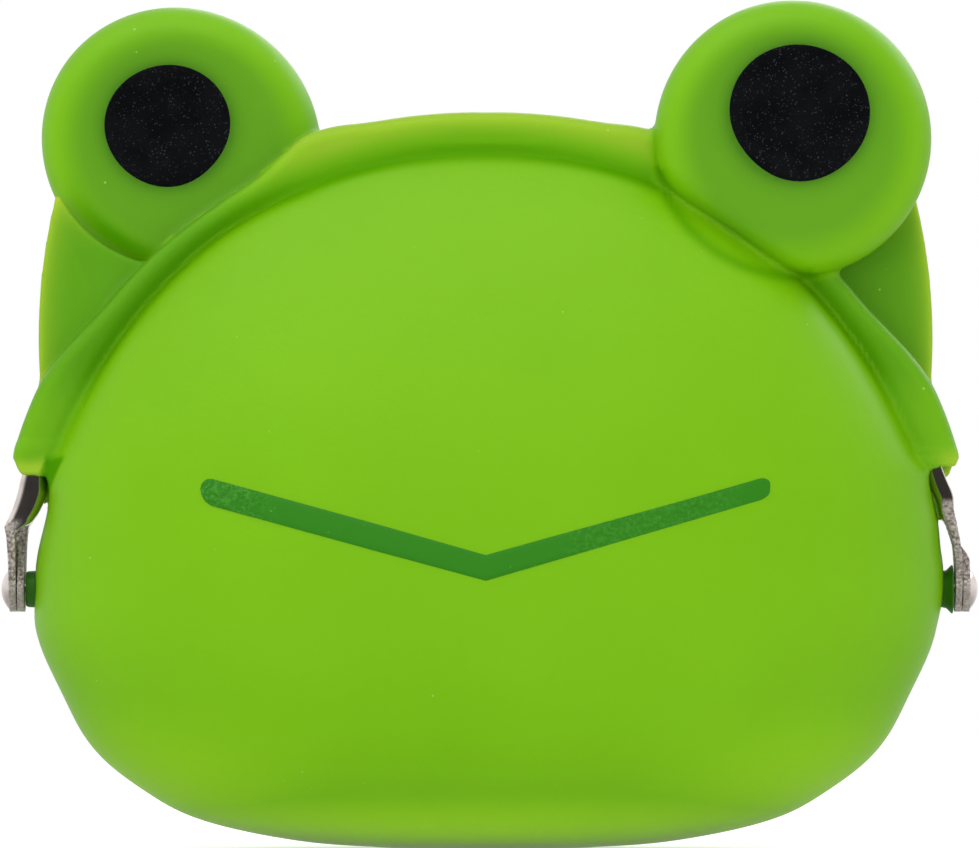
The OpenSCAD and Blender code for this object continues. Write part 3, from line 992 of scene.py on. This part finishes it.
def arm(knots, kink, side, rounds):
    """Sections of one arm from inside the sleeve to the ear's lowest point, and how
    rough each of their points is."""
    heights, low, high = (np.array(k) for k in zip(*knots[::-1]))
    ear = [HINGE_Z + EAR_R * cos(a) for a in np.linspace(0.7, 3.02, 22)]
    levels = [
        *np.linspace(ARM_TOP, kink + 2, 14), *np.linspace(kink + 1.8, kink - 2, 24),
        *np.linspace(kink - 2.3, ear[0] + 0.3, 8), *ear,
    ]
    sections, rough = [], []
    for z in levels:
        # Two fine ridges where the strip is crimped
        crimp = 0.06 * bell(z - kink + 0.4, 0.16) + 0.05 * bell(z - kink + 1.0, 0.2)
        a, b = curve(z, heights, low) - crimp, curve(z, heights, high) + crimp
        flat = fall(z, kink + 0.8, 1.6)
        front = strip_edge(z, ARM_FRONT, kink - 0.5, 1)
        back = strip_edge(z, ARM_BACK, kink - 0.5, -1) + 0.15 * (1 - flat)
        outer, inner = (r * (1 - flat) + SMALL_ROUND * flat for r in rounds)
        loop = rounded_section(a, b, back, front, outer, inner)
        sections.append([(side * x, v, z) for x, v in loop][::side])
        # An arm with a sharp outer edge is dull from higher up, and the ears are less so
        worn = fall(z, kink + 2.2, 0.5) if rounds[0] < 0.4 else flat
        worn = worn * (1 - 0.45 * fall(z, HINGE_Z + 1.4, 1.6))
        rough += [worn * ramp((x - b + 1.35) / 0.15) for x, v in loop][::side]
    return sections, rough


def channel_sections():
    """The rolled channel that the sleeve hides, open toward the inside of the arch."""
    stations = []
    for a in np.linspace(END_ANGLE, FLANK_FROM, 12):
        x, z = FLANK_X + FLANK_R * cos(a), FLANK_Z + FLANK_R * sin(a)
        stations.append((x, z, cos(a), sin(a)))
    for a in np.linspace(FLANK_FROM, pi / 2, 24)[1:]:
        stations.append((ARCH_R * cos(a), HINGE_Z + ARCH_R * sin(a), cos(a), sin(a)))
    stations += [(-x, z, -nx, nz) for x, z, nx, nz in stations[-2::-1]]
    return [
        [(x + u * nx, v, z + u * nz) for u, v in CHANNEL] for x, z, nx, nz in stations
    ]


def build_steel():
    """Each half's steel arch with its two arms."""
    channel = channel_sections()
    for half, turned, outer_knots, inner_knots in (
        ("front", False, OUTER_ARM, INNER_ARM), ("rear", True, REAR_ARM, REAR_INNER_ARM),
    ):
        outer, outer_rough = arm(outer_knots, OUTER_KINK, -1, (0.95, 1.2))
        inner, inner_rough = arm(inner_knots, INNER_KINK, 1, (0.22, 1.0))
        points, faces = tubes((outer, inner, channel))
        mesh = new_mesh(half + "_steel", points, faces, turned, lean(points[:, 2]))
        shade_smooth(mesh, 32)
        rough = np.zeros(len(points))
        rough[: len(outer_rough) + len(inner_rough)] = outer_rough + inner_rough
        paint(mesh, "rough", rough)
        piece = link(mesh, half + "_steel")
        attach(piece, half + "_half")
        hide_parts(half + "_frame")
        mesh.materials.append(nickel)


def build_bosses():
    """The stubs of silicone that stand out of the pouch round the rivets."""
    points, faces = tubes((lathe(-1, LEFT_BOSS), lathe(1, RIGHT_BOSS)))
    mesh = new_mesh("hinge_bosses", points, faces, shift=HINGE_SHIFT)
    shade_smooth(mesh, 40)
    # The stubs stand in a narrow gap, so they are painted with the shade tint as painted
    # shade
    paint(mesh, "shade", [0.95] * len(points))
    piece = link(mesh, "hinge_bosses")
    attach(piece, "body")
    mesh.materials.append(silicone)


def build_gussets():
    """The folded webs inside the hinges, one for each half."""
    heights = np.linspace(GUSSET_LOW, GUSSET_HIGH, 18)
    depths = np.linspace(0, GUSSET_REACH, 13)
    z, v = (g.ravel() for g in np.meshgrid(heights, depths, indexing="ij"))
    # Its two skins, this far under the pouch's outer surface. The inner one is
    # pushed in at the fold.
    skins = []
    for under, push in ((WALL - 0.2, 0), (WALL + 0.7, 1)):
        x = half_widths(z)[0] - under
        for _ in range(12):
            slope = (pouch(x + STEP, v, z) - pouch(x - STEP, v, z)) / (2 * STEP)
            x = x - np.clip((pouch(x, v, z) + under) / np.maximum(slope, 0.3), -1, 1)
        skins.append(np.stack([x - 0.5 * (1 - ramp(v / 3.0)) * push, v, z], 1))
    right = np.concatenate(skins)
    rows, columns, count = len(heights), len(depths), len(z)
    faces = []
    for quad in grid_quads(rows, columns):
        faces += [quad, tuple(count + k for k in quad[::-1])]
    # The rim that joins the two skins
    last = (rows - 1) * columns
    rim = [*range(columns), *range(2 * columns - 1, count, columns)]
    rim += [*range(count - 2, last - 1, -1), *range(last - columns, 0, -columns)]
    for a, b in zip(rim, rim[1:] + rim[:1]):
        faces.append((b, a, count + a, count + b))
    faces += [tuple(2 * count + k for k in f[::-1]) for f in faces]
    points = np.concatenate([right, right * (-1, 1, 1)])
    for half, turned in (("front", False), ("rear", True)):
        mesh = new_mesh(half + "_gusset", points, faces, turned, skin_lean(points[:, 2]))
        shade_smooth(mesh)
        piece = link(mesh, half + "_gusset")
        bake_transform(piece)
        mesh.materials.append(silicone)


def build_rivets():
    """Rivets with a domed head outside and a flat tail inside the pouch."""
    dome_r = (HEAD_R**2 + HEAD_H**2) / (2 * HEAD_H)
    middle = HEAD_X + HEAD_H - dome_r
    shoulder = TAIL_X + TAIL_T
    profile = [
        (TAIL_X, 0.05), (TAIL_X, TAIL_R), (shoulder, TAIL_R), (shoulder, SHANK_R),
        (HEAD_X, SHANK_R), (HEAD_X, HEAD_R),
    ]
    for a in np.linspace(np.arcsin(HEAD_R / dome_r), 0.02, 9)[1:]:
        profile.append((middle + dome_r * cos(a), dome_r * sin(a)))
    for name, side in (("left", -1), ("right", 1)):
        points, faces = tubes((lathe(side, profile),))
        mesh = new_mesh(name + "_rivet", points, faces, shift=HINGE_SHIFT)
        shade_smooth(mesh, 32)
        piece = link(mesh, name + "_rivet")
        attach(piece, "body")
        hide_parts("rivet_" + name)
        mesh.materials.append(nickel)


# The studio, in metres and watts
ROOM_LIGHT = 0.6
FLOOR_GLOW = 0.62
CAMERA_AIM, CAMERA_TILT = (0.0004, 0, 0.0477), radians(-2.0)
CAMERA_DISTANCE, CAMERA_WIDTH, SENSOR = 0.90, 0.11028, 36


def aimed(thing, place, aim):
    """Puts a lamp or a camera at a place and turns it to another one."""
    holder = bpy.data.objects.new(thing.name, thing)
    bpy.context.scene.collection.objects.link(holder)
    holder.location = place
    toward = Vector(aim) - holder.location
    holder.rotation_euler = toward.to_track_quat("-Z", "Y").to_euler()
    return holder


def add_area(name, place, aim, size, power, mirrored=True, diffuse=True):
    lamp = bpy.data.lights.new(name, "AREA")
    lamp.shape = "RECTANGLE"
    lamp.size, lamp.size_y = size
    lamp.energy = power
    holder = aimed(lamp, place, aim)
    holder.visible_glossy = mirrored
    holder.visible_diffuse = diffuse


def add_world():
    """White to the camera and a soft light; in mirrors dark where the camera is."""
    world = bpy.data.worlds.new("studio")
    bpy.context.scene.world = world
    world.use_nodes = True
    tree = world.node_tree
    tree.nodes.clear()
    rays = tree.nodes.new("ShaderNodeLightPath").outputs
    place = tree.nodes.new("ShaderNodeTexCoord")
    split = tree.nodes.new("ShaderNodeSeparateXYZ")
    tree.links.new(place.outputs["Generated"], split.inputs[0])
    room = stretch(tree, split.outputs["Y"], -0.88, -0.3, 0.055, 1.0)
    above = stretch(tree, split.outputs["Z"], -0.35, 0.05, 0.6)
    seen = operate(tree, "MAXIMUM", rays["Is Camera Ray"], rays["Is Transmission Ray"])
    glossy = times(tree, rays["Is Glossy Ray"], times(tree, room, above))
    soft = times(tree, rays["Is Diffuse Ray"], ROOM_LIGHT)
    shown = operate(tree, "MAXIMUM", operate(tree, "MAXIMUM", seen, glossy), soft)
    back = tree.nodes.new("ShaderNodeBackground")
    fill(tree, back, {"Color": (1, 1, 1, 1), "Strength": shown})
    out = tree.nodes.new("ShaderNodeOutputWorld")
    tree.links.new(back.outputs[0], out.inputs["Surface"])


def add_floor():
    """A pale floor, white to the camera, that the steel doesn't mirror."""
    bpy.ops.mesh.primitive_plane_add(size=6)
    floor = bpy.context.object
    floor.name = "floor"
    made, tree, bsdf = material("pale_floor")
    rays = tree.nodes.new("ShaderNodeLightPath").outputs
    fill(tree, bsdf, {
        "Base Color": (0.85, 0.85, 0.85, 1),
        "Roughness": 0.9,
        "Specular IOR Level": 0,
        "Emission Color": (1, 1, 1, 1),
        "Emission Strength": times(tree, rays["Is Camera Ray"], FLOOR_GLOW),
    })
    floor.data.materials.append(made)
    floor.visible_glossy = False


def add_camera():
    camera = bpy.data.cameras.new("camera")
    camera.sensor_width = SENSOR
    camera.lens = SENSOR * CAMERA_DISTANCE / CAMERA_WIDTH
    camera.clip_start = 0.01
    back = Vector((0, -cos(CAMERA_TILT), sin(CAMERA_TILT)))
    place = Vector(CAMERA_AIM) + CAMERA_DISTANCE * back
    bpy.context.scene.camera = aimed(camera, place, CAMERA_AIM)


def studio():
    bpy.context.scene.view_settings.view_transform = "Standard"
    add_world()
    add_floor()
    add_area("key", (-0.2, -0.5, 0.9), (0, 0, 0.05), (1.1, 0.8), 3.0)
    add_area("front", (-0.15, -1.1, 0.3), (0, 0, 0.03), (1.2, 0.5), 3.1, False)
    add_area("low", (0, -0.5, 0.04), (0, 0, 0.005), (1.0, 0.06), 0.55, False)
    add_area("side", (0.8, 0.35, 0.65), (0, 0, 0.05), (0.5, 0.5), 2.2, diffuse=False)
    add_area("rim", (0.3, 0.7, 0.6), (0, 0, 0.06), (0.8, 0.6), 2.5)
    add_camera()


studio()
build_skin()
build_mouth()
build_pupil("right_pupil_print", PUPILS["right"], False, "right_pupil")
build_pupil("left_pupil_print", PUPILS["left"], True, "left_pupil")
build_steel()
build_bosses()
build_gussets()
build_rivets()
